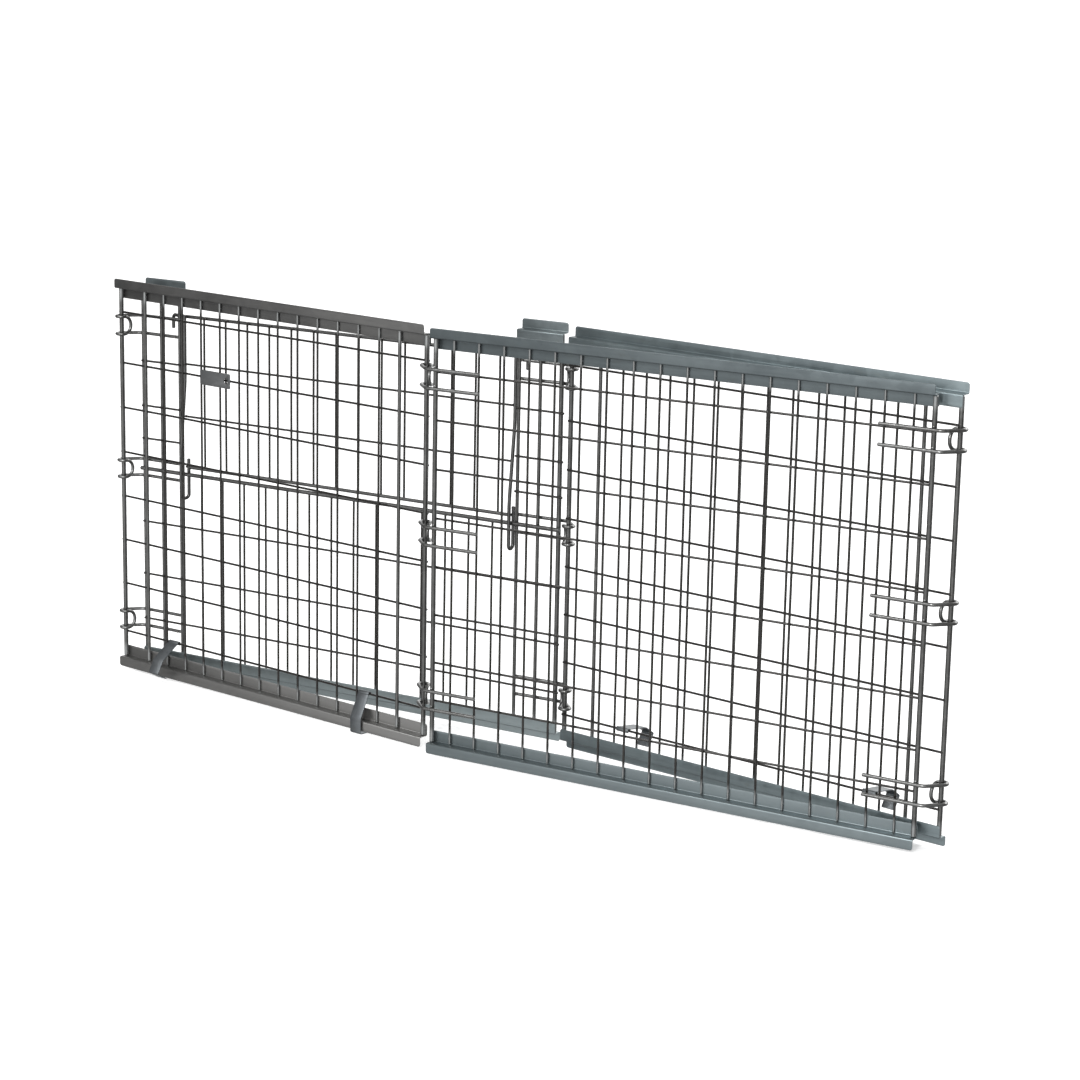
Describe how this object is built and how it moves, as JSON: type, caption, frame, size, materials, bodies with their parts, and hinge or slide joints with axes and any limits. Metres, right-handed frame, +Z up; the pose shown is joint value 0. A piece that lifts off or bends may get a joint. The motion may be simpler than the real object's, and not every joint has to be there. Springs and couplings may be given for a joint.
{
  "type": "folding kennel cage wall ring",
  "caption": "Folding ring of welded-wire kennel walls with sheet-metal rails, wire hinges, a drop-down door and swing clips.",
  "frame": {"origin": "centre of the bounding box at floor level, ring partly folded", "axes": "+X along the long walls towards the free end of the plain long wall, +Y from the plain long wall to the door wall, +Z up"},
  "size_m": [1.359, 0.1552, 0.582],
  "materials": {
    "galvanised_wire": "galvanised, satin with darker weld spots",
    "galvanised_sheet": "galvanised, blue-grey satin",
    "door_wire": "galvanised, satin",
    "clip_sheet": "galvanised spring strip"
  },
  "bodies": {
    "front_right": {"front_right_mesh": "galvanised_wire", "front_right_top_rail": "galvanised_sheet", "front_right_bottom_rail": "galvanised_sheet", "hinge_front_mid_top": "galvanised_wire", "hinge_front_mid_middle": "galvanised_wire", "hinge_front_mid_bottom": "galvanised_wire", "hinge_front_right_top": "galvanised_wire", "hinge_front_right_middle": "galvanised_wire", "hinge_front_right_bottom": "galvanised_wire"},
    "front_left": {"front_left_mesh": "galvanised_wire", "front_left_top_rail": "galvanised_sheet", "front_left_bottom_rail": "galvanised_sheet", "tag_plate": "galvanised_sheet"},
    "back_right": {"back_right_mesh": "galvanised_wire", "back_right_top_rail": "galvanised_sheet", "back_right_bottom_rail": "galvanised_sheet"},
    "back_left": {"back_left_lower_mesh": "galvanised_wire", "back_left_side_left": "galvanised_wire", "back_left_side_right": "galvanised_wire", "back_left_top_stub_left": "galvanised_sheet", "back_left_top_stub_right": "galvanised_sheet", "back_left_bottom_rail": "galvanised_sheet", "hinge_back_left_top": "galvanised_wire", "hinge_back_left_middle": "galvanised_wire", "hinge_back_left_bottom": "galvanised_wire", "hinge_back_mid_top": "galvanised_wire", "hinge_back_mid_middle": "galvanised_wire", "hinge_back_mid_bottom": "galvanised_wire"},
    "pivot_bar": {"crossbar": "door_wire"},
    "door": {"door_mesh": "door_wire", "door_rod_left": "door_wire", "door_rod_right": "door_wire", "door_top_wire": "door_wire"},
    "clip_1": {"clip_1": "clip_sheet"},
    "clip_2": {"clip_2": "clip_sheet"},
    "clip_3": {"clip_3": "clip_sheet"},
    "clip_4": {"clip_4": "clip_sheet"}
  },
  "joints": [
    {"name": "fold_front_left", "type": "hinge", "parent": "front_right", "child": "front_left", "pos_m": [-0.084, -0.04892, 0.3], "axis": [0, 0, -1], "range_deg": [-6.5, 81]},
    {"name": "fold_back_right", "type": "hinge", "parent": "front_right", "child": "back_right", "pos_m": [0.6701, -0.04892, 0.3], "axis": [0, 0, -1], "range_deg": [-6.5, 81]},
    {"name": "fold_back_left", "type": "hinge", "parent": "back_right", "child": "back_left", "pos_m": [0.08399, 0.04318, 0.3], "axis": [0, 0, -1], "range_deg": [-81, 6.5]},
    {"name": "door_swing", "type": "hinge", "parent": "back_left", "child": "pivot_bar", "pos_m": [-0.29306, 0.05488, 0.3035], "axis": [-1, 0, 0], "range_deg": [0, 100]},
    {"name": "door_lift", "type": "slide", "parent": "pivot_bar", "child": "door", "axis": [0, 0, 1], "range_m": [0, 0.022]},
    {"name": "clip_1_swing", "type": "hinge", "parent": "front_left", "child": "clip_1", "pos_m": [-0.66938, 0.04782, 0.0545], "axis": [-0.9879, 0.1552, 0], "range_deg": [-30, 110]},
    {"name": "clip_2_swing", "type": "hinge", "parent": "front_left", "child": "clip_2", "pos_m": [-0.66938, 0.04782, 0.0545], "axis": [-0.9879, 0.1552, 0], "range_deg": [0, 140]},
    {"name": "clip_3_swing", "type": "hinge", "parent": "back_right", "child": "clip_3", "pos_m": [0.66937, -0.05356, 0.0545], "axis": [0.9879, -0.1552, 0], "range_deg": [-56, 84]},
    {"name": "clip_4_swing", "type": "hinge", "parent": "back_right", "child": "clip_4", "pos_m": [0.66937, -0.05356, 0.0545], "axis": [0.9879, -0.1552, 0], "range_deg": [-56, 84]}
  ],
  "couplings": [
    {"joint": "fold_back_right", "follows": "fold_front_left", "ratio": 1},
    {"joint": "fold_back_left", "follows": "fold_front_left", "ratio": -1}
  ]
}
